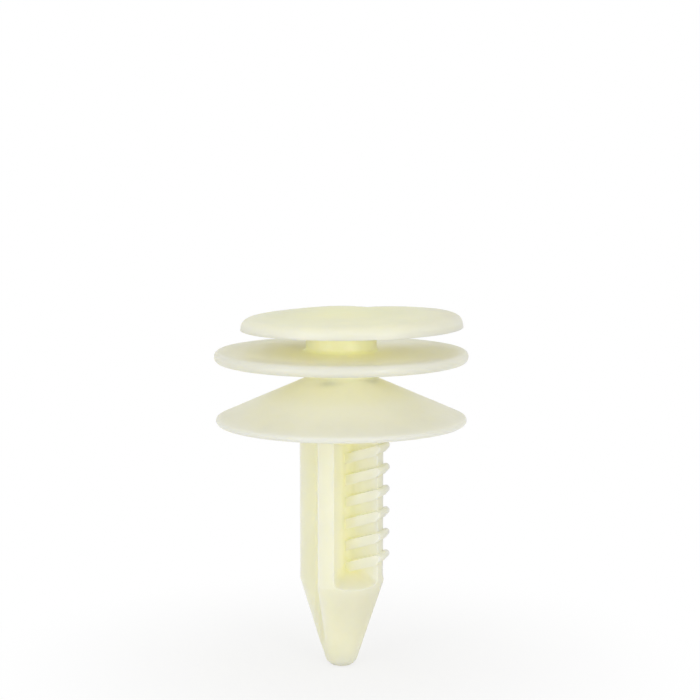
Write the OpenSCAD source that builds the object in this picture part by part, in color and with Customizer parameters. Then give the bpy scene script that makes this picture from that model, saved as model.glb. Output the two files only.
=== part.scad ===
// Push-in trim retainer, moulded in one piece from natural nylon.
// A notched volute head screws through the hole of a trim board, the flat flange backs the board,
// the thin skirt springs against the body panel and the barbed shank holds in the panel's hole.
// It stands upright about the Z axis, head up, with z = 0 in the plane of the skirt's rim, which is
// where the body panel's face lies. Directions are degrees about that axis from +X.

/* [Head] */
// Radius of the head's main arc
head_r = 8.1; // [7.4:0.1:8.6]
// How much larger the radius of the lip's arc is, which runs on from the main arc
lip_growth = 0.5; // [0.2:0.05:0.8]
// Distance of the main arc's centre from the axis
head_shift = 0.72; // [0.4:0.02:1]
// Direction of the main arc's centre
head_shift_dir = 43; // [30:1:60]
// Direction in which the main arc runs on into the lip's arc
lip_start_dir = 266; // [240:1:280]
// Thickness of the head at its rim
head_rim_t = 0.8; // [0.7:0.05:1.2]
// Rise of the crown over the rim
head_crown = 0.65; // [0.4:0.05:1.2]
// Tilt of the head's underside that lifts the lip off the trim board, in degrees
head_tilt = 0.6; // [0:0.1:2]
// Further tilt of the head's top, which leaves the lip the thicker end, in degrees
crown_tilt = 0.5; // [0:0.1:2]

/* [Notch] */
// Direction of the notch's inner corner, which lies beside the neck
notch_dir = 45; // [40:1:50]
// Gap between the neck and the notch's inner corner
notch_gap = 0.1; // [0.05:0.05:0.5]
// Direction of the notch's straight edge
straight_edge_dir = 133; // [125:1:140]
// Direction of the notch's bowed edge, along the lip
lip_edge_dir = 26; // [20:1:32]
// Height of the bow
lip_edge_bow = 0.55; // [0.3:0.05:0.9]

/* [Neck, flange and skirt] */
// Diameter of the neck
neck_d = 5.3; // [4.6:0.1:6]
// Gap between the flange and the head, which takes the trim board
board_gap = 1.6; // [1.2:0.05:3]
// Diameter of the flange
flange_d = 19; // [18:0.5:22]
// Thickness of the flange
flange_t = 0.8; // [0.5:0.05:1.2]
// Length of the neck between the flange and the skirt
lower_neck = 1.25; // [0.8:0.05:2]
// Diameter of the skirt at its rim
skirt_d = 18.8; // [17:0.2:21]
// Height of the skirt
skirt_h = 3.4; // [2.4:0.1:4.5]
// Thickness of the skirt's wall
skirt_t = 0.5; // [0.3:0.05:0.8]

/* [Shank and tip] */
// Diameter over the ribs of the cross-shaped shank
shank_d = 6.4; // [5.8:0.05:7]
// Length from the plane of the skirt's rim to the shoulder of the tip
shank_len = 11.95; // [11:0.05:16]
// Width of a rib
rib_w = 1.25; // [0.9:0.05:1.6]
// Radius of the hollows beside the barbs
barb_hollow_r = 0.8; // [0.5:0.1:1.5]
// Radius of the other hollows, which run on down the tip
tip_hollow_r = 1.5; // [0.8:0.1:1.8]
// Direction of the barbed rib
rib_dir = -21.5; // [-45:0.5:0]
// Step of the tip's shoulder over the ribs
shoulder_step = 0.06; // [0.02:0.02:0.2]
// Length of the tip
tip_len = 6.75; // [5:0.05:7.5]
// Slope of the tip's side from the axis, in degrees
tip_slope = 18.4; // [14:0.2:20]
// Rounding of the tip's end
tip_round = 0.8; // [0.3:0.05:0.9]

/* [Barbs] */
// Number of barbs
barb_count = 6; // [2:1:7]
// Distance from one barb to the next
barb_pitch = 1.66; // [1.2:0.02:1.8]
// Height of the lowest barb's edge over the shoulder
barb_first = 2.25; // [1.8:0.05:3]
// Reach of a barb past the end of its rib
barb_reach = 0.36; // [0.1:0.02:0.5]
// Height of a barb's sides over the faces of its rib
barb_proud = 0.45; // [0.2:0.05:0.6]
// Thickness of a barb at its round edge
barb_edge = 0.56; // [0.2:0.02:0.7]
// Upward slope of a barb, in degrees
barb_slope = 17.5; // [5:0.5:30]
// Slope of the ramp under a barb's edge, in degrees
barb_ramp = 48; // [35:1:60]

/* [Edges] */
// Rounding of both edges of the flange
edge_round = 0.22; // [0.1:0.02:0.24]
// Height of the bevels on the head's upper edge
rim_bevel = 0.35; // [0.2:0.05:0.5]
// Inward draft of the head's rim, in degrees
rim_draft = 10; // [2:1:15]
// Fillet where the neck meets the head and the flange
neck_fillet = 0.3; // [0.1:0.05:0.4]

/* [Hidden] */
$fn = 72;
nylon = [0.95, 0.93, 0.72];

// How far a piece runs into its neighbour so that the two fuse
bite = 0.1;

// Half the sizes that are measured across
neck_r = neck_d / 2;
flange_r = flange_d / 2;
shank_r = shank_d / 2;
rib_half = rib_w / 2;

// Levels along the axis
flange_z = skirt_h + lower_neck;
board_z = flange_z + flange_t;
head_z = board_z + board_gap;
shoulder_z = -shank_len;
tip_z = shoulder_z - tip_len;

// Head: the lip's arc touches the main arc, so the two centres lie on one line
head_c = polar(head_shift, head_shift_dir);
lip_r = head_r + lip_growth;
lip_c = head_c - polar(lip_growth, lip_start_dir);
head_top = head_rim_t + head_crown;
// The dome is centred between the two arcs
dome_c = (head_c + lip_c) / 2;
dome_span = (head_r + lip_r) / 2;
dome_r = (dome_span * dome_span + head_crown * head_crown) / (2 * head_crown);
// Depth of the rim under the head's nominal underside, before the tilted underside is cut
rim_drop = 0.6;
// Slopes of the two bevels from the axis, in degrees
bevel_slopes = [35, 62];

// Notch: both edges start beside the neck, and the bowed edge ends on the lip's arc
notch_c = polar(neck_r + notch_gap, notch_dir);
lip_chord = reach(notch_c, lip_edge_dir, lip_c, lip_r);
bow_r = (lip_chord * lip_chord / 4 + lip_edge_bow * lip_edge_bow) / (2 * lip_edge_bow);
bow_c = notch_c + polar(lip_chord / 2, lip_edge_dir) + polar(bow_r - lip_edge_bow, lip_edge_dir - 90);

// Skirt: a straight wall from the neck to a round rim
skirt_edge = skirt_t / 2;
skirt_rim = [skirt_d / 2 - skirt_edge, skirt_edge];
skirt_reach = skirt_rim - [neck_r, skirt_h];
skirt_run = sqrt(skirt_reach * skirt_reach - skirt_edge * skirt_edge);
skirt_slope = atan2(-skirt_reach.y, skirt_reach.x) - asin(skirt_edge / norm(skirt_reach));
skirt_root_z = skirt_h - skirt_t / cos(skirt_slope);
shank_top = skirt_root_z - (shank_r - neck_r) * tan(skirt_slope) + skirt_edge;

// Tip: its end is rounded between a small flat and the sloping side
shoulder_r = shank_r + shoulder_step;
tip_flat = shoulder_r - (tip_round + (tip_len - tip_round) * sin(tip_slope)) / cos(tip_slope);
tip_round_c = [tip_flat, tip_z + tip_round];

// Barbs: the end of the rib, the round edge beyond it, and where the barb's top and ramp touch the round
rib_end = sqrt(shank_r * shank_r - rib_half * rib_half);
barb_nose_r = barb_edge / 2;
barb_nose = [rib_end + barb_reach - barb_nose_r, -barb_nose_r];
barb_top = barb_nose + polar(barb_nose_r, 90 + barb_slope);
barb_under = barb_nose + polar(barb_nose_r, barb_ramp - 90);

function polar(r, a) = [r * cos(a), r * sin(a)];

// Distance from a point inside a circle to the circle, in a given direction
function reach(from, dir, centre, r) =
    let (off = from - centre, along = off * polar(1, dir))
    sqrt(along * along - off * off + r * r) - along;

// Half section of a disc of the head, whose rim leans in and turns into the dome over two bevels
module rim_section(r) {
    side_end = [r - (head_rim_t - rim_bevel) * tan(rim_draft), head_rim_t - rim_bevel];
    bevel_h = [0.75 * rim_bevel, head_crown + rim_bevel];
    bevel_end = side_end + [-bevel_h[0] * tan(bevel_slopes[0]), bevel_h[0]];
    top_end = bevel_end + [-bevel_h[1] * tan(bevel_slopes[1]), bevel_h[1]];
    polygon([
        [0, -rim_drop], [r + rim_drop * tan(rim_draft), -rim_drop],
        side_end, bevel_end, top_end, [0, top_end.y]
    ]);
}

// Disc of the head, or a part of it, from the direction in which the main arc runs on into the lip's
module disc(centre, r, turn) {
    translate(centre) rotate(lip_start_dir) rotate_extrude(angle = turn) rim_section(r);
}

module notch() {
    far = 2 * lip_r;
    back = notch_c - polar(lip_edge_bow, straight_edge_dir);
    translate([0, 0, -head_top]) linear_extrude(3 * head_top) difference() {
        polygon([
            back,
            back + polar(far, lip_edge_dir),
            notch_c + polar(far, (lip_edge_dir + straight_edge_dir) / 2),
            notch_c + polar(far, straight_edge_dir)
        ]);
        translate(bow_c) circle(bow_r, $fn = 180);
    }
}

// Volute disc with a domed top, cut off level by its tilted underside
module head_disc() {
    span = 2 * lip_r;
    difference() {
        rotate([0, -head_tilt - crown_tilt, 0]) intersection() {
            union() {
                disc(head_c, head_r, 360);
                disc(lip_c, lip_r, 180);
            }
            translate([dome_c.x, dome_c.y, head_top - dome_r]) rotate([90, 0, 0]) sphere(dome_r, $fn = 180);
        }
        rotate([0, -head_tilt, 0]) translate([-span, -span, -span]) cube([2 * span, 2 * span, span]);
    }
}

module head() {
    translate([0, 0, head_z]) difference() {
        union() {
            head_disc();
            rotate_extrude() neck_corner(0, false);
        }
        notch();
    }
}

// Hollow corner fillet of the neck's section, which points up or down from a level
module neck_corner(z, up) {
    translate([neck_r, z]) mirror([0, up ? 0 : 1]) difference() {
        translate([-bite, -bite]) square(neck_fillet + bite);
        translate([neck_fillet, neck_fillet]) circle(neck_fillet);
    }
}

module flange_section() {
    translate([0, flange_z]) square([flange_r - edge_round, flange_t]);
    translate([0, flange_z + edge_round]) square([flange_r, flange_t - 2 * edge_round]);
    for (z = [flange_z + edge_round, board_z - edge_round])
        translate([flange_r - edge_round, z]) circle(edge_round);
}

module skirt_section() {
    translate([neck_r, skirt_h]) rotate(-skirt_slope) translate([0, -skirt_t]) {
        translate([-bite, 0]) square([skirt_run + bite, skirt_t]);
        translate([skirt_run, skirt_edge]) circle(skirt_edge);
    }
}

// Neck, flange and skirt, turned about the axis
module stem() {
    rotate_extrude() {
        translate([0, skirt_root_z]) square([neck_r, head_z + head_rim_t / 2 - skirt_root_z]);
        flange_section();
        skirt_section();
        neck_corner(board_z, true);
        neck_corner(flange_z, false);
    }
}

// Hollow between two ribs, in the first quadrant of the shank's section
module hollow(r) {
    translate([rib_half, rib_half]) {
        translate([r, r]) circle(r);
        translate([r, 0]) square(shank_d);
        translate([0, r]) square(shank_d);
    }
}

module tip_hollows() {
    for (a = [90, 180]) rotate(a) hollow(tip_hollow_r);
}

module shank() {
    foot_z = shoulder_z - bite;
    translate([0, 0, foot_z]) rotate(rib_dir) linear_extrude(shank_top - foot_z) difference() {
        circle(shank_r);
        for (a = [0, 270]) rotate(a) hollow(barb_hollow_r);
        tip_hollows();
    }
}

module tip_section() {
    polygon([
        [0, tip_z], [tip_flat, tip_z], tip_round_c + polar(tip_round, -tip_slope),
        [shoulder_r, shoulder_z], [0, shoulder_z]
    ]);
    intersection() {
        translate(tip_round_c) circle(tip_round);
        translate([0, tip_z]) square(2 * tip_round);
    }
}

// The two hollows away from the barbs run on down the tip until its slope takes them up
module tip() {
    difference() {
        rotate_extrude() tip_section();
        translate([0, 0, tip_z]) rotate(rib_dir) linear_extrude(tip_len + bite) tip_hollows();
    }
}

// One barb in the plane of its rib, from the axis outward, with the top of its edge at height 0
module barb_section() {
    ramp_foot = barb_under.y - (barb_under.x - rib_end) * tan(barb_ramp);
    polygon([
        [0, barb_top.y - barb_top.x * tan(barb_slope)], [0, ramp_foot - rib_end * tan(barb_slope)],
        [rib_end, ramp_foot], barb_under, barb_top
    ]);
    translate(barb_nose) circle(barb_nose_r);
}

module barbs() {
    rotate(rib_dir) rotate([90, 0, 0]) linear_extrude(rib_w + 2 * barb_proud, center = true)
        for (i = [0 : barb_count - 1])
            translate([0, shoulder_z + barb_first + i * barb_pitch]) barb_section();
}

module retainer() {
    color(nylon) {
        head();
        stem();
        shank();
        tip();
        barbs();
    }
}

retainer();
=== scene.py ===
import math

import bmesh
import bpy
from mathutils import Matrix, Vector


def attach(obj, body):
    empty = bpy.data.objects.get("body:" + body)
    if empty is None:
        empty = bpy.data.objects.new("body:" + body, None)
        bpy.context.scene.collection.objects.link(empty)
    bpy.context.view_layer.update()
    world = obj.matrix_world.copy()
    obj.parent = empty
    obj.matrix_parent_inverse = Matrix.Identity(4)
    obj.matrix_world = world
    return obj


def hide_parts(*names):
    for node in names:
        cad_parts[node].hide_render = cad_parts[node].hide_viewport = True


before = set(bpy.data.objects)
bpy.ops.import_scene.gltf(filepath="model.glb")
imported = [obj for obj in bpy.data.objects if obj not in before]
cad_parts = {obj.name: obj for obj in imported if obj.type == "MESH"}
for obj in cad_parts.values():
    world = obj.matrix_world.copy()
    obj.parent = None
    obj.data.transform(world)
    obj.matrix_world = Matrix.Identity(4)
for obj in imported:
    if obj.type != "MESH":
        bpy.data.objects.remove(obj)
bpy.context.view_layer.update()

# Sizes in millimetres, as in the part's source. The pieces are modelled in millimetres and the
# finished moulding is brought to metres. Directions are degrees about the axis from +X.
MM = 0.001
HEAD_R, LIP_R = 8.1, 8.6
HEAD_SHIFT, HEAD_SHIFT_DIR = 0.72, 43
LIP_START_DIR = 266
HEAD_RIM_T, HEAD_CROWN = 0.8, 0.65
HEAD_TILT, CROWN_TILT = 0.6, 0.5
NOTCH_DIR, NOTCH_GAP = 45, 0.1
STRAIGHT_EDGE_DIR, LIP_EDGE_DIR, LIP_EDGE_BOW = 133, 26, 0.55
NECK_R, NECK_FILLET = 2.65, 0.3
FLANGE_R, FLANGE_Z, FLANGE_T = 9.5, 4.65, 0.8
HEAD_Z = 7.05
SKIRT_R, SKIRT_H, SKIRT_T = 9.4, 3.4, 0.5
SHANK_R, SHANK_TOP, SHOULDER_Z = 3.2, 2.86, -11.95
RIB_W, BARB_HOLLOW_R, TIP_HOLLOW_R, RIB_DIR = 1.25, 0.8, 1.5, -21.5
SHOULDER_R, TIP_LEN, TIP_SLOPE, TIP_ROUND = 3.26, 6.75, 18.4, 0.8
BARB_COUNT, BARB_PITCH, BARB_FIRST = 6, 1.66, 2.25
BARB_REACH, BARB_PROUD, BARB_EDGE = 0.36, 0.45, 0.56
BARB_SLOPE, BARB_RAMP = 17.5, 48

RIB_HALF = RIB_W / 2
TIP_Z = SHOULDER_Z - TIP_LEN

# Softness that only this model has: rounded edges and the run-out of the hollows over the tip
FLANGE_ROUND = 0.36
UNDERSIDE_SOFT, NOTCH_SOFT = 0.08, 0.1
RIB_SOFT, BARB_SOFT = 0.25, 0.2
RUN_OUT_RISE, RUN_OUT_SLOPE, RUN_OUT_SOFT = 1.1, 30, 0.35

# An edge is sharp when its faces turn by more than this, in radians. A face looks along a
# direction when its normal's share there is over FACING. A corner is on a line or plane when it is
# NEAR it. A cutter stands CLEAR of what it cuts. Corners closer than MERGE become one. Faces that
# turn by less than SMOOTH_ANGLE, in degrees, are shaded as one surface.
SHARP, NOTCH_SHARP, CORNER_SHARP = 0.6, 0.7, 0.9
FACING = 0.9
NEAR, CLEAR, MERGE = 0.01, 1, 0.001
SMOOTH_ANGLE = 36


def polar(r, degrees):
    return Vector((r * math.cos(math.radians(degrees)), r * math.sin(math.radians(degrees))))


def arc(centre, r, first, last, steps):
    """Points on an arc of a section, from one direction to another."""
    c = Vector(centre)
    return [c + polar(r, first + (last - first) * i / steps) for i in range(steps + 1)]


def bend(start, start_pull, end, end_pull, steps):
    """Points on a soft bend between two points of a section, each pulled along its own line."""
    a, b, c, d = start, start + start_pull, end + end_pull, end
    points = []
    for i in range(steps + 1):
        t = i / steps
        s = 1 - t
        points.append(a * s ** 3 + b * 3 * s ** 2 * t + c * 3 * s * t ** 2 + d * t ** 3)
    return points


# Modelling by hand

def deselect():
    if bpy.context.mode != "OBJECT":
        bpy.ops.object.mode_set(mode="OBJECT")
    bpy.ops.object.select_all(action="DESELECT")


def pick(piece):
    deselect()
    piece.select_set(True)
    bpy.context.view_layer.objects.active = piece
    return piece


def shape(piece, mode="EDGE"):
    """Edit mode with nothing selected."""
    pick(piece)
    bpy.ops.object.mode_set(mode="EDIT")
    bpy.ops.mesh.select_mode(type=mode)
    bpy.ops.mesh.select_all(action="DESELECT")
    return bmesh.from_edit_mesh(piece.data)


def shape_all(piece, mode="FACE"):
    """Edit mode with all of the piece selected."""
    shape(piece, mode)
    bpy.ops.mesh.select_all(action="SELECT")


def leave(piece):
    """Back to object mode, with the corners that were moved in code."""
    bmesh.update_edit_mesh(piece.data)
    bpy.ops.object.mode_set(mode="OBJECT")


def settle(piece, name):
    """Puts the piece's place, turn and size into its mesh."""
    piece.name = name
    pick(piece)
    bpy.ops.object.transform_apply(location=True, rotation=True, scale=True)
    return piece


def bevel_edges(piece, wanted, width, segments):
    """Rounds the edges that wanted(edge) picks."""
    mesh = shape(piece)
    for edge in mesh.edges:
        edge.select_set(wanted(edge))
    bmesh.update_edit_mesh(piece.data)
    bpy.ops.mesh.bevel(offset=width, segments=segments, clamp_overlap=True)
    bpy.ops.object.mode_set(mode="OBJECT")


def face_out(piece):
    shape_all(piece)
    bpy.ops.mesh.normals_make_consistent(inside=False)
    bpy.ops.object.mode_set(mode="OBJECT")


def fuse(piece, other, operation="UNION", careful=False):
    """Joins another piece to this one, or cuts it out, and uses it up.

    Careful is for a piece whose own faces may cross after a bevel.
    """
    pick(piece)
    tool = piece.modifiers.new("fuse", "BOOLEAN")
    tool.operation = operation
    tool.solver = "EXACT"
    tool.use_self = careful
    tool.object = other
    bpy.ops.object.modifier_apply(modifier=tool.name)
    bpy.data.objects.remove(other)
    return piece


def flat_outline(name, outline, z):
    """A filled circle whose corners are moved to an outline."""
    deselect()
    bpy.ops.mesh.primitive_circle_add(vertices=len(outline), radius=1, fill_type="NGON")
    piece = settle(bpy.context.object, name)
    mesh = shape(piece, "FACE")
    mesh.verts.ensure_lookup_table()
    for corner, spot in zip(mesh.verts, outline):
        corner.co = (spot.x, spot.y, z)
    leave(piece)
    return piece


def draw_out(piece, rings, centre=Vector((0, 0))):
    """Extrudes a flat outline from ring to ring of a section, each at its radius and height."""
    shape_all(piece)
    last = rings[0]
    for ring in rings[1:]:
        grow = ring.x / last.x
        bpy.ops.mesh.extrude_region_move(
            TRANSFORM_OT_translate={"value": (0, 0, ring.y - last.y)})
        bpy.ops.transform.resize(
            value=(grow, grow, 1), center_override=(centre.x, centre.y, ring.y))
        last = ring
    bpy.ops.object.mode_set(mode="OBJECT")
    face_out(piece)
    return piece


def turned(name, rings, sides):
    """Turned piece: a disc at the first ring, drawn out along the section."""
    deselect()
    bpy.ops.mesh.primitive_circle_add(
        vertices=sides, radius=rings[0].x, fill_type="NGON", location=(0, 0, rings[0].y))
    return draw_out(settle(bpy.context.object, name), rings)


def is_sharp(edge, angle=SHARP):
    return edge.is_manifold and edge.calc_face_angle() > angle


# The stem: neck, flange and skirt, turned about the axis

STEM_SIDES = 144
STEM_START_R, STEM_END_R = 1.6, 1.0
INTO_HEAD = 0.3, 0.4
SKIRT_SHARES = 0.2, 0.4, 0.6, 0.8
SKIRT_FOOT_OUT, SKIRT_FOOT_OUT_PULL = 0.35, 0.25
SKIRT_FOOT_UP, SKIRT_FOOT_UP_PULL = 0.25, 0.15
FLANGE_RING_R = 4.5, 6.5, 8.2
SKIRT_RIM_STEPS, SKIRT_FOOT_STEPS, FILLET_STEPS, FLANGE_STEPS = 8, 4, 6, 5


def skirt_rings():
    """Inner face, round rim, outer face and the soft foot where the skirt meets the neck."""
    edge = SKIRT_T / 2
    top, rim = Vector((NECK_R, SKIRT_H)), Vector((SKIRT_R - edge, edge))
    lean = math.atan2(top.y - rim.y, rim.x - top.x) - math.asin(edge / (rim - top).length)
    along = Vector((math.cos(lean), -math.sin(lean)))
    inward = Vector((-math.sin(lean), -math.cos(lean)))
    run = (rim - top).dot(along)
    slope = math.degrees(lean)
    inner = [top + inward * SKIRT_T + along * run * t for t in (0, *SKIRT_SHARES)]
    round_rim = arc(rim, edge, 270 - slope, 450 - slope, SKIRT_RIM_STEPS)
    outer = [top + along * run * t for t in reversed(SKIRT_SHARES)]
    foot = bend(top + along * SKIRT_FOOT_OUT, -along * SKIRT_FOOT_OUT_PULL,
                top + Vector((0, SKIRT_FOOT_UP)), Vector((0, -SKIRT_FOOT_UP_PULL)),
                SKIRT_FOOT_STEPS)
    return inner + round_rim + outer + foot


def stem_rings():
    skirt = skirt_rings()
    start = [Vector((STEM_START_R, skirt[0].y))]
    fillet, flange_top = NECK_FILLET, FLANGE_Z + FLANGE_T
    fillet_r, round_r = NECK_R + fillet, FLANGE_R - FLANGE_ROUND
    low_neck = arc((fillet_r, FLANGE_Z - fillet), fillet, 180, 90, FILLET_STEPS)
    under_flange = [Vector((r, FLANGE_Z)) for r in FLANGE_RING_R]
    rim_below = arc((round_r, FLANGE_Z + FLANGE_ROUND), FLANGE_ROUND, 270, 360, FLANGE_STEPS)
    rim_above = arc((round_r, flange_top - FLANGE_ROUND), FLANGE_ROUND, 0, 90, FLANGE_STEPS)
    on_flange = [Vector((r, flange_top)) for r in reversed(FLANGE_RING_R)]
    neck = arc((fillet_r, flange_top + fillet), fillet, 270, 180, FILLET_STEPS)
    top_painted_light = arc((fillet_r, HEAD_Z - fillet), fillet, 180, 90, FILLET_STEPS)
    into_head = [Vector((r, HEAD_Z + up)) for r, up in zip((fillet_r, STEM_END_R), INTO_HEAD)]
    return (start + skirt + low_neck + under_flange + rim_below + rim_above + on_flange
            + neck + top_painted_light + into_head)


# The head: a domed volute disc with a soft rim and a notch

HEAD_C = polar(HEAD_SHIFT, HEAD_SHIFT_DIR)
LIP_C = HEAD_C - polar(LIP_R - HEAD_R, LIP_START_DIR)
DOME_C = (HEAD_C + LIP_C) / 2
DOME_SPAN = (HEAD_R + LIP_R) / 2
DOME_R = (DOME_SPAN ** 2 + HEAD_CROWN ** 2) / (2 * HEAD_CROWN)

MAIN_START_DIR, LIP_TURN = 112, 136
OUTLINE_STEP, NOTCH_STEPS = 2, 35
SIDE_DRAFT, SIDE_H, SIDE_BELOW = 8, 0.3, 0.3
DOME_START_R = 7.45
SIDE_PULL, DOME_PULL, SOFT_RIM_STEPS = 0.33, 0.55, 8
DOME_RING_R = 6.7, 5.8, 4.9, 4.0, 3.1, 2.2, 1.3, 0.5
UNDERSIDE_TOP = 0.2
HEAD_SEGMENTS = 2
BOW_RUN, BOW_STEPS = 2.25, 28
NOTCH_LOW, NOTCH_H, NOTCH_BACK = -2, 5, -0.2


def reach(start, direction, centre, r):
    """Distance from a point inside a circle to the circle, in a given direction."""
    off, way = start - centre, polar(1, direction)
    along = off.dot(way)
    return math.sqrt(along ** 2 - off.dot(off) + r ** 2) - along


NOTCH_C = polar(NECK_R + NOTCH_GAP, NOTCH_DIR)
NOTCH_MID_DIR = (LIP_EDGE_DIR + STRAIGHT_EDGE_DIR) / 2
LIP_CHORD = reach(NOTCH_C, LIP_EDGE_DIR, LIP_C, LIP_R)
BOW_R = (LIP_CHORD ** 2 / 4 + LIP_EDGE_BOW ** 2) / (2 * LIP_EDGE_BOW)
BOW_C = (NOTCH_C + polar(LIP_CHORD / 2, LIP_EDGE_DIR)
         + polar(BOW_R - LIP_EDGE_BOW, LIP_EDGE_DIR - 90))


def head_outline():
    """Main arc and lip arc, closed across the notch."""
    lip_end_dir = LIP_START_DIR + LIP_TURN
    main = [HEAD_C + polar(HEAD_R, a) for a in range(MAIN_START_DIR, LIP_START_DIR, OUTLINE_STEP)]
    lip = [LIP_C + polar(LIP_R, a) for a in range(LIP_START_DIR, lip_end_dir, OUTLINE_STEP)]
    first, last = lip[-1] - DOME_C, main[0] - DOME_C
    first_dir, last_dir = (math.degrees(math.atan2(v.y, v.x)) for v in (first, last))
    across = [
        DOME_C + polar(first.length + (last.length - first.length) * i / NOTCH_STEPS,
                       first_dir + (last_dir - first_dir) * i / NOTCH_STEPS)
        for i in range(1, NOTCH_STEPS)
    ]
    return main + lip + across


def dome_z(r):
    return HEAD_RIM_T + HEAD_CROWN - DOME_R + math.sqrt(DOME_R ** 2 - r ** 2)


def head_rings():
    """Side with its draft, soft rim and dome. The side starts below the underside."""
    draft = math.tan(math.radians(SIDE_DRAFT))
    side_end = Vector((DOME_SPAN - SIDE_H * draft, SIDE_H))
    dome_end = Vector((DOME_START_R, dome_z(DOME_START_R)))
    fall = DOME_START_R / math.sqrt(DOME_R ** 2 - DOME_START_R ** 2)
    side = [Vector((DOME_SPAN + SIDE_BELOW * draft, -SIDE_BELOW)), Vector((DOME_SPAN, 0))]
    rim = bend(side_end, Vector((-SIDE_PULL * draft, SIDE_PULL)),
               dome_end, Vector((DOME_PULL, -DOME_PULL * fall)), SOFT_RIM_STEPS)
    return side + rim + [Vector((r, dome_z(r))) for r in DOME_RING_R]


def make_head():
    rings = head_rings()
    start = rings[0].x / DOME_SPAN
    outline = [DOME_C + (spot - DOME_C) * start for spot in head_outline()]
    head = draw_out(flat_outline("head", outline, rings[0].y), rings, DOME_C)
    shape_all(head, "VERT")
    bpy.ops.transform.rotate(
        value=math.radians(HEAD_TILT + CROWN_TILT), orient_axis="Y", center_override=(0, 0, 0))
    lean = math.radians(HEAD_TILT)
    bpy.ops.mesh.bisect(
        plane_co=(0, 0, 0), plane_no=(-math.sin(lean), 0, math.cos(lean)),
        use_fill=True, clear_inner=True)
    bpy.ops.object.mode_set(mode="OBJECT")
    bevel_edges(head, on_underside_edge, UNDERSIDE_SOFT, HEAD_SEGMENTS)
    fuse(head, notch_cutter(), "DIFFERENCE")
    bevel_edges(head, on_notch_edge, NOTCH_SOFT, HEAD_SEGMENTS)
    head.location.z = HEAD_Z
    return settle(head, "head")


def on_underside_edge(edge):
    return is_sharp(edge, CORNER_SHARP) and edge.verts[0].co.z < UNDERSIDE_TOP


def notch_cutter():
    """Block with a straight side and a hollow side, whose corner lies beside the neck."""
    far = 2 * LIP_R
    first = NOTCH_C - BOW_C
    first_dir = math.degrees(math.atan2(first.y, first.x))
    half_span = math.degrees(math.asin(LIP_CHORD / 2 / BOW_R))
    bowed = arc(BOW_C, BOW_R, first_dir, first_dir - BOW_RUN * half_span, BOW_STEPS)
    far_dirs = LIP_EDGE_DIR, NOTCH_MID_DIR, STRAIGHT_EDGE_DIR
    far_corners = [NOTCH_C + polar(far, a) for a in far_dirs]
    cutter = flat_outline("notch_cutter", bowed + far_corners, NOTCH_LOW)
    shape_all(cutter)
    bpy.ops.mesh.extrude_region_move(TRANSFORM_OT_translate={"value": (0, 0, NOTCH_H)})
    face_out(cutter)
    return cutter


def on_notch_edge(edge):
    """Sharp edges where the notch meets the head's top, underside and rim."""
    if not is_sharp(edge, NOTCH_SHARP):
        return False
    for corner in edge.verts:
        spot = Vector((corner.co.x, corner.co.y))
        off = spot - NOTCH_C
        off_straight = abs(off.cross(polar(1, STRAIGHT_EDGE_DIR)))
        off_bow = abs((spot - BOW_C).length - BOW_R)
        behind = off.dot(polar(1, NOTCH_MID_DIR)) < NOTCH_BACK
        if behind or min(off_straight, off_bow) > NEAR:
            return False
    return True


# The shank and its tip: a turned bar with four hollows, two of which run down the taper

BAR_SIDES = 128
BAR_RING_Z = -9, -6, -3, 0
NOSE_START_DIR, NOSE_STEPS = -88, 9
NOSE_MID = 0.5
TAPER_SHARES, TAPER_END = (0.15, 0.3, 0.45, 0.6, 0.75, 0.88), 0.96
SHOULDER_RISE, SHOULDER_STEPS = 0.5, 6
TAPER_PULL, SHANK_PULL = Vector((0.07, 0.22)), Vector((0, -0.3))
HOLLOW_SPAN, HOLLOW_SEGMENTS = 4.0, 12
OUTER_EDGE = 3.9
RUN_OUT_SEGMENTS, RIB_SEGMENTS = 4, 5
RIB_EDGE_H = 0.2
TIP_QUARTERS, BARB_QUARTERS = (90, 180), (0, 270)


def bar_rings():
    lean = math.radians(TIP_SLOPE)
    flat = SHOULDER_R - (TIP_ROUND + (TIP_LEN - TIP_ROUND) * math.sin(lean)) / math.cos(lean)
    end = Vector((flat * NOSE_MID, TIP_Z))
    nose = arc((flat, TIP_Z + TIP_ROUND), TIP_ROUND, NOSE_START_DIR, -TIP_SLOPE, NOSE_STEPS)
    shoulder = Vector((SHOULDER_R, SHOULDER_Z))
    taper = [nose[-1].lerp(shoulder, t) for t in TAPER_SHARES]
    over = bend(nose[-1].lerp(shoulder, TAPER_END), TAPER_PULL,
                Vector((SHANK_R, SHOULDER_Z + SHOULDER_RISE)), SHANK_PULL, SHOULDER_STEPS)
    bar = [Vector((SHANK_R, z)) for z in (*BAR_RING_Z, SHANK_TOP)]
    return [end] + nose + taper + over + bar


def on_hollow_corner(edge):
    return all(abs(v.co.x - RIB_HALF) + abs(v.co.y - RIB_HALF) < NEAR for v in edge.verts)


def on_run_out_edge(edge):
    """Lower edges of the block beside the ribs, not those outside the shank."""
    inner = RIB_HALF + OUTER_EDGE
    return (all(v.co.z < SHOULDER_Z + NEAR for v in edge.verts) and is_sharp(edge)
            and any(v.co.x < inner and v.co.y < inner for v in edge.verts))


def on_rib_corner(edge):
    low, high = sorted(v.co.z for v in edge.verts)
    return is_sharp(edge) and edge.calc_face_angle_signed() > 0 and high - low > RIB_EDGE_H


def hollow_cutter(quarter, low, corner_r):
    """Block with one round corner, which hollows a quarter of the shank."""
    middle, high = RIB_HALF + HOLLOW_SPAN / 2, SHANK_TOP + CLEAR
    deselect()
    bpy.ops.mesh.primitive_cube_add(
        size=1, location=(middle, middle, (low + high) / 2),
        scale=(HOLLOW_SPAN, HOLLOW_SPAN, high - low))
    cutter = settle(bpy.context.object, "hollow_cutter")
    bevel_edges(cutter, on_hollow_corner, corner_r, HOLLOW_SEGMENTS)
    cutter.rotation_euler.z = math.radians(quarter)
    return cutter


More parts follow.
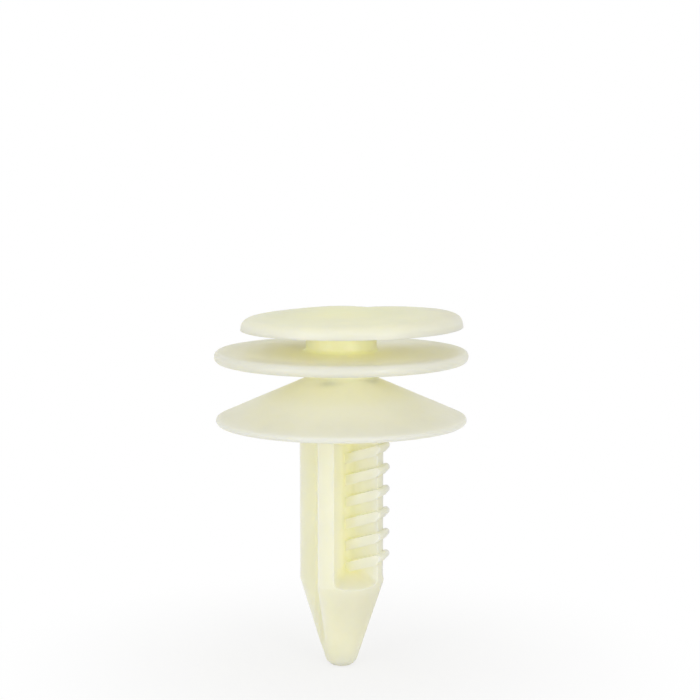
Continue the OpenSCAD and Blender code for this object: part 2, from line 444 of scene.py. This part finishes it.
def run_out_cutter(quarter):
    """The same for a hollow beside the barbs, whose floor runs out over the tip on a slope."""
    cutter = hollow_cutter(quarter, SHOULDER_Z, BARB_HOLLOW_R)
    bevel_edges(cutter, on_run_out_edge, RUN_OUT_SOFT, RUN_OUT_SEGMENTS)
    fall = math.tan(math.radians(RUN_OUT_SLOPE)) / math.sqrt(2)
    mesh = shape(cutter, "VERT")
    for corner in mesh.verts:
        if corner.co.z < SHOULDER_Z + CLEAR:
            corner.co.z += RUN_OUT_RISE - fall * (corner.co.x + corner.co.y - 2 * RIB_HALF)
    leave(cutter)
    return cutter


def make_shank():
    shank = turned("shank", bar_rings(), BAR_SIDES)
    for quarter in TIP_QUARTERS:
        cutter = hollow_cutter(quarter, TIP_Z - CLEAR, TIP_HOLLOW_R)
        fuse(shank, settle(cutter, "tip_hollow"), "DIFFERENCE")
    for quarter in BARB_QUARTERS:
        fuse(shank, settle(run_out_cutter(quarter), "barb_hollow"), "DIFFERENCE")
    bevel_edges(shank, on_rib_corner, RIB_SOFT, RIB_SEGMENTS)
    face_out(shank)
    shank.rotation_euler.z = math.radians(RIB_DIR)
    return settle(shank, "shank")


# The barbs: one is modelled and copied up the barbed rib

BARB_ROOTS = 0.8, 2.2
BARB_SHARES = 0.25, 0.45, 0.65, 0.8, 0.91, 0.98
BARB_STUB, BARB_SEGMENTS = 0.2, 4


def barb_stations():
    """Places along a barb, from root to round nose, each with the barb's underside and top."""
    rib_end = math.sqrt(SHANK_R ** 2 - RIB_HALF ** 2)
    rise, fall = math.tan(math.radians(BARB_SLOPE)), math.tan(math.radians(BARB_RAMP))
    nose_r = BARB_EDGE / 2
    nose = Vector((rib_end + BARB_REACH - nose_r, -nose_r))
    top, under = nose + polar(nose_r, 90 + BARB_SLOPE), nose + polar(nose_r, BARB_RAMP - 90)
    foot = under.y - (under.x - rib_end) * fall
    stations = []
    for out in (*BARB_ROOTS, rib_end, *(rib_end + BARB_REACH * t for t in BARB_SHARES)):
        round_h = math.sqrt(max(nose_r ** 2 - (out - nose.x) ** 2, 0))
        high = top.y - (top.x - out) * rise if out < top.x else nose.y + round_h
        low = under.y - (under.x - out) * fall if out < under.x else nose.y - round_h
        if out < rib_end:
            low = foot - (rib_end - out) * rise
        stations.append((out, low, high))
    return stations


def make_barb():
    """Sloping blade across the rib, with a ramp under its round nose, whose top is at height 0."""
    width = RIB_W + 2 * BARB_PROUD
    stations = barb_stations()
    root, low, high = stations[0]
    deselect()
    bpy.ops.mesh.primitive_cube_add(
        size=1, location=(root - BARB_STUB / 2, 0, (low + high) / 2),
        scale=(BARB_STUB, width, high - low))
    barb = settle(bpy.context.object, "barb")
    mesh = shape(barb, "FACE")
    for face in mesh.faces:
        face.select_set(face.normal.x > FACING)
    bmesh.update_edit_mesh(barb.data)
    out = root
    for next_out, next_low, next_high in stations[1:]:
        middle = (next_low + next_high) / 2
        bpy.ops.mesh.extrude_region_move(
            TRANSFORM_OT_translate={"value": (next_out - out, 0, middle - (low + high) / 2)})
        bpy.ops.transform.resize(
            value=(1, 1, (next_high - next_low) / (high - low)),
            center_override=(next_out, 0, middle))
        out, low, high = next_out, next_low, next_high
    bpy.ops.object.mode_set(mode="OBJECT")

    def on_side_edge(edge):
        return (is_sharp(edge, CORNER_SHARP) and min(v.co.x for v in edge.verts) > root - NEAR
                and all(abs(v.co.y) > width / 2 - NEAR for v in edge.verts))

    bevel_edges(barb, on_side_edge, BARB_SOFT, BARB_SEGMENTS)
    face_out(barb)
    return barb


def add_barbs(shank):
    barb = make_barb()
    for i in range(BARB_COUNT):
        pick(barb)
        bpy.ops.object.duplicate()
        copy = bpy.context.object
        copy.rotation_euler.z = math.radians(RIB_DIR)
        copy.location.z = SHOULDER_Z + BARB_FIRST + i * BARB_PITCH
        fuse(shank, settle(copy, "barb_%d" % i), careful=True)
    bpy.data.objects.remove(barb)


# The retainer: its pieces are fused into one moulding and brought to metres

def make_retainer():
    retainer = turned("retainer_moulding", stem_rings(), STEM_SIDES)
    fuse(retainer, make_head())
    shank = make_shank()
    add_barbs(shank)
    fuse(retainer, shank)
    shape_all(retainer, "VERT")
    bpy.ops.mesh.remove_doubles(threshold=MERGE)
    bpy.ops.object.mode_set(mode="OBJECT")
    retainer.scale = (MM, MM, MM)
    settle(retainer, "retainer_moulding")
    bpy.ops.object.shade_smooth_by_angle(angle=math.radians(SMOOTH_ANGLE))
    return retainer


# Natural nylon as moulded: translucent and yellower where it is thick. Its colour also holds
# painted light: the thick core is painted bright as if lit through, the thin rims darker as
# painted shade, and the hollows lighter as if light reached deep into them

# Core and shank colours: the nylon's yellow, painted bright as a glow of light through the thick
# nylon. Rim and rib colours: painted darker, as shade on the thin edges.
CORE_NYLON_AND_GLOW = (0.995, 0.93, 0.53, 1)
DISC_NYLON = (0.98, 0.94, 0.66, 1)
RIM_NYLON_AND_SHADE = (0.59, 0.585, 0.495, 1)
RIB_NYLON_AND_SHADE = (0.61, 0.605, 0.495, 1)
SHANK_NYLON_AND_GLOW = (0.93, 0.90, 0.63, 1)
# Painted light: a lighter colour laid into the hollows, as if light reached into them.
HOLLOW_PAINTED_LIGHT = (0.99, 0.96, 0.74, 1)

# Where one colour passes into the next, by distance from the axis or by height
CORE_TO_DISC = 2.8 * MM, 6.5 * MM
DISC_TO_RIM = 5.5 * MM, 9.6 * MM
CORE_TO_RIB = 0.9 * MM, 3.3 * MM
# Painted light: above this height the head's top face keeps only TOP_PALENESS of the disc colour,
# for how light falls on it.
UNDER_TO_TOP = 7.1 * MM, 7.8 * MM
TIP_TO_SHANK = -18 * MM, -11 * MM
SHANK_TO_SKIRT = -0.8 * MM, 0.2 * MM
TOP_PALENESS, TIP_DEPTH, RIB_DEPTHS = 0.4, 0.3, (0.8, 0.15)

# Soft clouds in the colour, painted light in the hollows, and the fine grain of the mould
CLOUD_SCALE, CLOUD_DETAIL, CLOUD_SHARE = 260.0, 3.0, 0.08
HOLLOW_REACH, HOLLOW_SAMPLES = 2.5 * MM, 12
HOLLOW_OPENNESS, HOLLOW_LIGHT_SHARE = (0.92, 0.35), 0.4
GRAIN_SCALE, GRAIN_DETAIL, GRAIN_BUMP, GRAIN_DEPTH = 2400.0, 4.0, 0.15, 0.02 * MM
NOISE_SPAN = 0.3, 0.7
SATIN = 0.38, 0.5
GLOW_RADIUS, GLOW_SCALE = (1.0, 0.9, 0.55), 5.0 * MM


def add_node(tree, kind, inputs=(), **settings):
    """Adds a node, sets its options, and sets or links its inputs."""
    made = tree.nodes.new(kind)
    for key, value in settings.items():
        setattr(made, key, value)
    for key, value in dict(inputs).items():
        if isinstance(value, bpy.types.NodeSocket):
            tree.links.new(value, made.inputs[key])
        else:
            made.inputs[key].default_value = value
    return made


def ramp(tree, value, span, to_min=0.0, to_max=1.0, soft=True):
    return add_node(
        tree, "ShaderNodeMapRange",
        {"Value": value, "From Min": span[0], "From Max": span[1],
         "To Min": to_min, "To Max": to_max},
        interpolation_type="SMOOTHSTEP" if soft else "LINEAR").outputs["Result"]


def maths(tree, operation, a, b):
    return add_node(tree, "ShaderNodeMath", {0: a, 1: b}, operation=operation).outputs[0]


def distance(tree, spot):
    return add_node(
        tree, "ShaderNodeVectorMath", {0: spot}, operation="LENGTH").outputs["Value"]


def noise(tree, spot, scale, detail):
    return add_node(
        tree, "ShaderNodeTexNoise",
        {"Vector": spot, "Scale": scale, "Detail": detail}).outputs[0]


def blend_colours(tree, share, a, b):
    return add_node(
        tree, "ShaderNodeMix", {"Factor": share, 6: a, 7: b}, data_type="RGBA").outputs[2]


# Base colour: the nylon's own yellow with painted light, a bright glow in the thick core and shank
# and painted shade on the thin rims and rib ends.
def nylon_and_painted_light(tree, spot):
    axes = add_node(tree, "ShaderNodeSeparateXYZ", {0: spot}).outputs
    height = axes["Z"]
    across = add_node(tree, "ShaderNodeCombineXYZ", {"X": axes["X"], "Y": axes["Y"]})
    radius = distance(tree, across.outputs[0])
    cloud = noise(tree, spot, CLOUD_SCALE, CLOUD_DETAIL)
    cloudy = ramp(tree, cloud, NOISE_SPAN, -CLOUD_SHARE, CLOUD_SHARE, False)

    def clouded(share, a, b):
        return blend_colours(tree, maths(tree, "ADD", share, cloudy), a, b)

    # Painted light: the head's top face takes more of the core colour than its underside, for how
    # light falls on it.
    top_painted_light = ramp(tree, height, UNDER_TO_TOP, 1.0, TOP_PALENESS)
    off_core = maths(tree, "MULTIPLY", ramp(tree, radius, CORE_TO_DISC), top_painted_light)
    near_rim = ramp(tree, radius, DISC_TO_RIM)
    # Painted light: the more a spot is hidden in a hollow, the more its colour is lightened, as if
    # light reached into it.
    openness = add_node(
        tree, "ShaderNodeAmbientOcclusion", {"Distance": HOLLOW_REACH},
        samples=HOLLOW_SAMPLES, only_local=True).outputs["AO"]
    hollow = ramp(tree, openness, HOLLOW_OPENNESS, 0.0, HOLLOW_LIGHT_SHARE, False)
    disc_colour = clouded(off_core, CORE_NYLON_AND_GLOW, DISC_NYLON)
    disc_colour = clouded(near_rim, disc_colour, RIM_NYLON_AND_SHADE)
    disc_colour = blend_colours(tree, hollow, disc_colour, HOLLOW_PAINTED_LIGHT)

    # Painted light on the shank: bright and yellow at its thick core, painted darker at the rib
    # ends and toward the narrower tip.
    in_tip = ramp(tree, height, TIP_TO_SHANK, TIP_DEPTH, 1.0)
    depth = maths(tree, "MULTIPLY", ramp(tree, radius, CORE_TO_RIB, *RIB_DEPTHS), in_tip)
    shank_colour = clouded(depth, RIB_NYLON_AND_SHADE, SHANK_NYLON_AND_GLOW)
    on_shank = ramp(tree, height, SHANK_TO_SKIRT, 1.0, 0.0)
    return blend_colours(tree, on_shank, disc_colour, shank_colour)


def nylon_material():
    mat = bpy.data.materials.new("nylon_with_painted_light")
    mat.use_nodes = True
    tree = mat.node_tree
    shader = tree.nodes["Principled BSDF"]
    spot = add_node(tree, "ShaderNodeTexCoord").outputs["Object"]
    tree.links.new(nylon_and_painted_light(tree, spot), shader.inputs["Base Color"])
    grain = noise(tree, spot, GRAIN_SCALE, GRAIN_DETAIL)
    tree.links.new(ramp(tree, grain, NOISE_SPAN, *SATIN, False), shader.inputs["Roughness"])
    bump = add_node(
        tree, "ShaderNodeBump",
        {"Height": grain, "Strength": GRAIN_BUMP, "Distance": GRAIN_DEPTH})
    tree.links.new(bump.outputs[0], shader.inputs["Normal"])
    shader.inputs["Subsurface Weight"].default_value = 1.0
    shader.inputs["Subsurface Radius"].default_value = GLOW_RADIUS
    shader.inputs["Subsurface Scale"].default_value = GLOW_SCALE
    return mat


# Studio, in metres: pale floor under the tip, white surroundings and soft light from the front

WHITE, WORLD_LEVEL = (1, 1, 1, 1), 0.75
FLOOR_R, FLOOR_SIDES = 0.6, 96
FLOOR_PAINT, FLOOR_ROUGHNESS = (0.9, 0.9, 0.9, 1), 0.9
FLOOR_FADE, FLOOR_LEAST_WHITE = (0.004, 0.035), 0.45
LAMP_AIM, LAMP_SIZE = Vector((0, 0, 0.003)), 0.12
LAMPS = (
    ("left_softbox", Vector((-0.20, -0.225, 0.014)), 0.30),
    ("right_softbox", Vector((0.165, -0.25, 0.014)), 0.33),
)


def seen_white(tree):
    """1 for camera, mirror and see-through rays, 0 for the light that falls on the object."""
    rays = add_node(tree, "ShaderNodeLightPath").outputs
    seen = maths(tree, "MAXIMUM", rays["Is Camera Ray"], rays["Is Glossy Ray"])
    return maths(tree, "MAXIMUM", seen, rays["Is Transmission Ray"])


def blend_shaders(tree, share, a, b):
    return add_node(
        tree, "ShaderNodeMixShader", {0: share, 1: a.outputs[0], 2: b.outputs[0]}).outputs[0]


def set_world():
    world = bpy.data.worlds.new("studio")
    world.use_nodes = True
    tree = world.node_tree
    tree.nodes.clear()
    lit = add_node(tree, "ShaderNodeBackground", {"Color": WHITE, "Strength": WORLD_LEVEL})
    seen = add_node(tree, "ShaderNodeBackground", {"Color": WHITE, "Strength": 1.0})
    add_node(tree, "ShaderNodeOutputWorld", {0: blend_shaders(tree, seen_white(tree), lit, seen)})
    bpy.context.scene.world = world


def set_floor():
    """Pale floor that keeps the shadow round the tip and turns white away from it."""
    deselect()
    bpy.ops.mesh.primitive_circle_add(
        vertices=FLOOR_SIDES, radius=FLOOR_R, fill_type="NGON", location=(0, 0, TIP_Z * MM))
    floor = settle(bpy.context.object, "floor")
    mat = bpy.data.materials.new("pale_floor")
    mat.use_nodes = True
    tree = mat.node_tree
    paint = tree.nodes["Principled BSDF"]
    paint.inputs["Base Color"].default_value = FLOOR_PAINT
    paint.inputs["Roughness"].default_value = FLOOR_ROUGHNESS
    away = distance(tree, add_node(tree, "ShaderNodeTexCoord").outputs["Object"])
    fade = ramp(tree, away, FLOOR_FADE, FLOOR_LEAST_WHITE, 1.0)
    whiter = maths(tree, "MULTIPLY", fade, seen_white(tree))
    mix = blend_shaders(tree, whiter, paint, add_node(tree, "ShaderNodeEmission"))
    tree.links.new(mix, tree.nodes["Material Output"].inputs["Surface"])
    floor.data.materials.append(mat)


def soft_lamp(name, place, watts):
    lamp = bpy.data.lights.new(name, "AREA")
    lamp.shape, lamp.size, lamp.energy = "DISK", LAMP_SIZE, watts
    obj = bpy.data.objects.new(name, lamp)
    obj.location = place
    obj.rotation_euler = (LAMP_AIM - place).to_track_quat("-Z", "Y").to_euler()
    bpy.context.scene.collection.objects.link(obj)


# Camera, as the photograph was taken

ELEVATION = 7.115
AIM = Vector((0.651, 0, 5.466)) * MM
DISTANCE = 130.8 * MM
LENS, SENSOR = 90, 36
NEAREST, FARTHEST = 0.001, 20


def set_camera():
    lens = bpy.data.cameras.new("camera")
    lens.lens, lens.sensor_width = LENS, SENSOR
    lens.clip_start, lens.clip_end = NEAREST, FARTHEST
    camera = bpy.data.objects.new("camera", lens)
    tilt = math.radians(ELEVATION)
    camera.location = AIM - Vector((0, math.cos(tilt), -math.sin(tilt))) * DISTANCE
    camera.rotation_euler = (math.radians(90) - tilt, 0, 0)
    bpy.context.scene.collection.objects.link(camera)
    bpy.context.scene.camera = camera


retainer = make_retainer()
retainer.data.materials.clear()
retainer.data.materials.append(nylon_material())
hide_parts("retainer")
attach(retainer, "root")
set_world()
set_floor()
for lamp_name, lamp_place, lamp_watts in LAMPS:
    soft_lamp(lamp_name, lamp_place, lamp_watts)
set_camera()
bpy.context.scene.view_settings.view_transform = "Standard"
